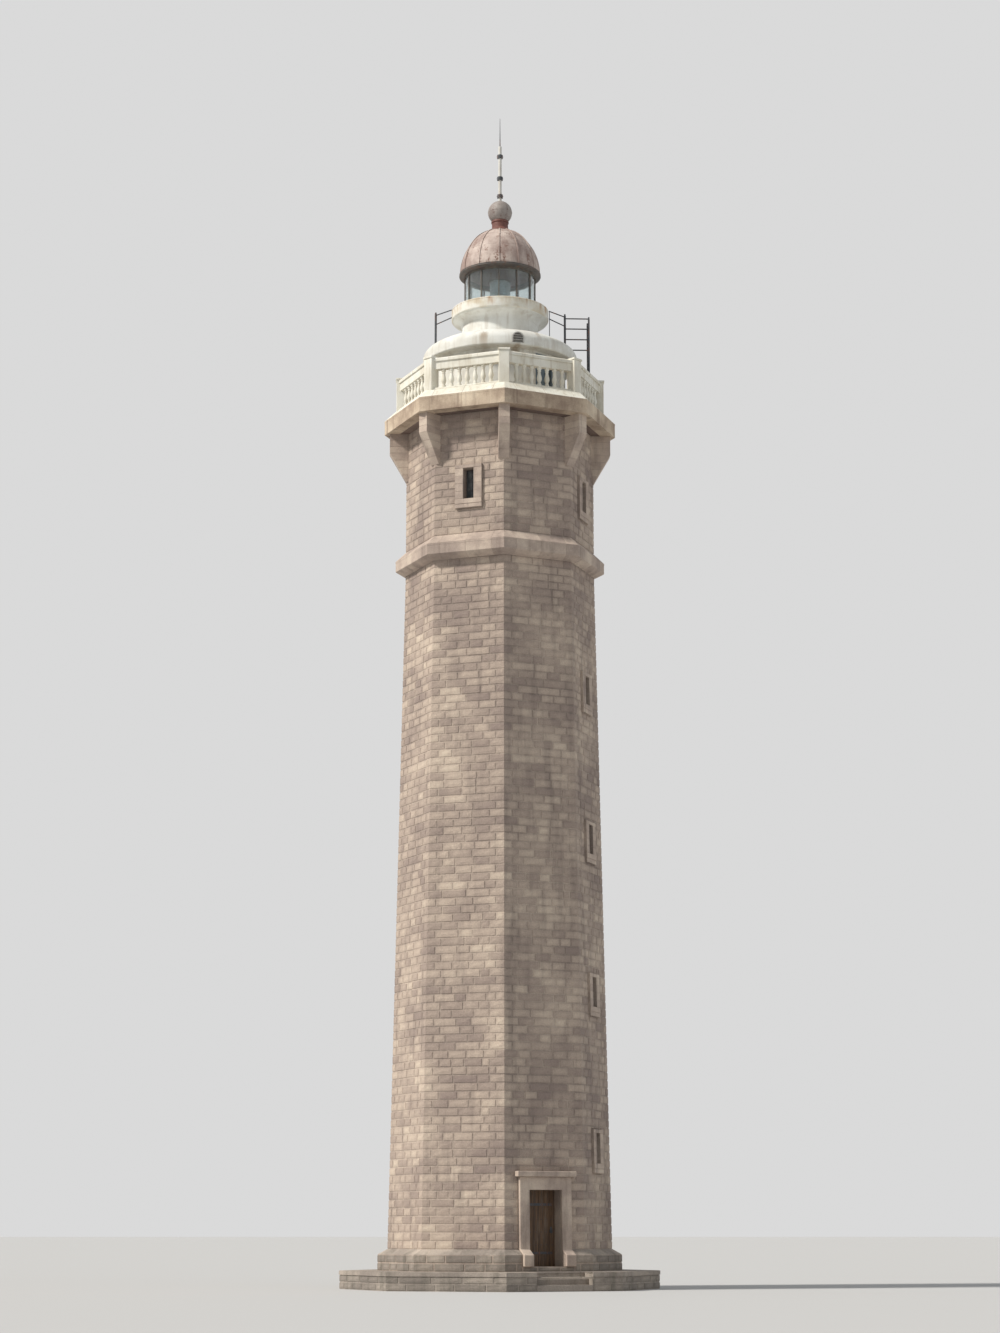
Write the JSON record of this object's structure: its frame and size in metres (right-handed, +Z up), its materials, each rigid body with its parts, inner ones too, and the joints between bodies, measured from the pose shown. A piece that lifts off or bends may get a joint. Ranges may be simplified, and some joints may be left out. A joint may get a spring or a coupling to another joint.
{
  "type": "lighthouse",
  "caption": "Octagonal granite lighthouse with corbelled stone gallery, turned balustrade, round service room and glazed lantern under a copper cupola.",
  "frame": {"origin": "on the tower's axis at ground level", "axes": "+Z up; octagon corners on the X and Y axes and halfway between; the ladder is on +X"},
  "size_m": [9.74, 9.74, 37.8281],
  "materials": {
    "base_granite": "coarse grey-pink granite, rock faced",
    "granite": "squared warm granite blocks with lime mortar joints",
    "dressed_granite": "dressed granite",
    "floor_stone": "worn stone flags",
    "slab_stone": "weathered brown slab stone",
    "pale_stone": "weathered pale cast stone",
    "lime_plaster": "weathered white lime render",
    "stained_plaster": "white render stained by rust",
    "door_paint": "faded blue-grey paint",
    "sash_paint": "dark grey paint",
    "window_glass": "dusty window glass",
    "dark_iron": "dark painted iron with rust",
    "lantern_metal": "dark bronze paint",
    "lantern_glass": "clear storm glass",
    "optic_glass": "ribbed pressed glass",
    "dome_copper": "weathered brown copper sheet",
    "dark_copper": "dark red-brown copper",
    "ball_copper": "dull brown copper",
    "rod_metal": "pale weathered paint",
    "door_oak": "dark oiled boards"
  },
  "bodies": {
    "root": {"access_ladder": "dark_iron", "balusters": "pale_stone", "balustrade_coping": "pale_stone", "balustrade_frieze": "pale_stone", "balustrade_kerb": "pale_stone", "balustrade_post_caps": "pale_stone", "balustrade_posts": "pale_stone", "base_course": "base_granite", "corner_corbels": "dressed_granite", "cupola_rim": "dark_copper", "cupola_seams": "dome_copper", "cupola_shell": "dome_copper", "domed_roof": "lime_plaster", "entrance_door": "door_oak", "entrance_door_straps": "dark_iron", "entrance_hood": "dressed_granite", "entrance_steps": "base_granite", "entrance_surround": "dressed_granite", "gallery_slab": "slab_stone", "ground_floor": "floor_stone", "ladder_guard_rails": "dark_iron", "ladder_handrails": "dark_iron", "lantern_astragals": "lantern_metal", "lantern_drum": "lime_plaster", "lantern_floor": "floor_stone", "lantern_gallery_ring": "stained_plaster", "lantern_glass": "lantern_glass", "lightning_rod": "rod_metal", "lower_shaft": "granite", "middle_shaft": "granite", "optic_cap": "lantern_metal", "optic_lens": "optic_glass", "optic_pedestal": "lantern_metal", "podium": "base_granite", "rod_collars": "dark_iron", "rod_tip": "dark_iron", "roof_vent": "dark_iron", "service_door": "door_paint", "service_door_frame": "door_paint", "service_room_wall": "lime_plaster", "string_course": "dressed_granite", "upper_shaft": "granite", "ventilator_ball": "ball_copper", "ventilator_neck": "dark_copper", "watch_room_floor": "floor_stone", "watch_room_wall": "granite", "window_glass": "window_glass", "window_sashes": "sash_paint", "window_surrounds": "dressed_granite"}
  },
  "joints": []
}
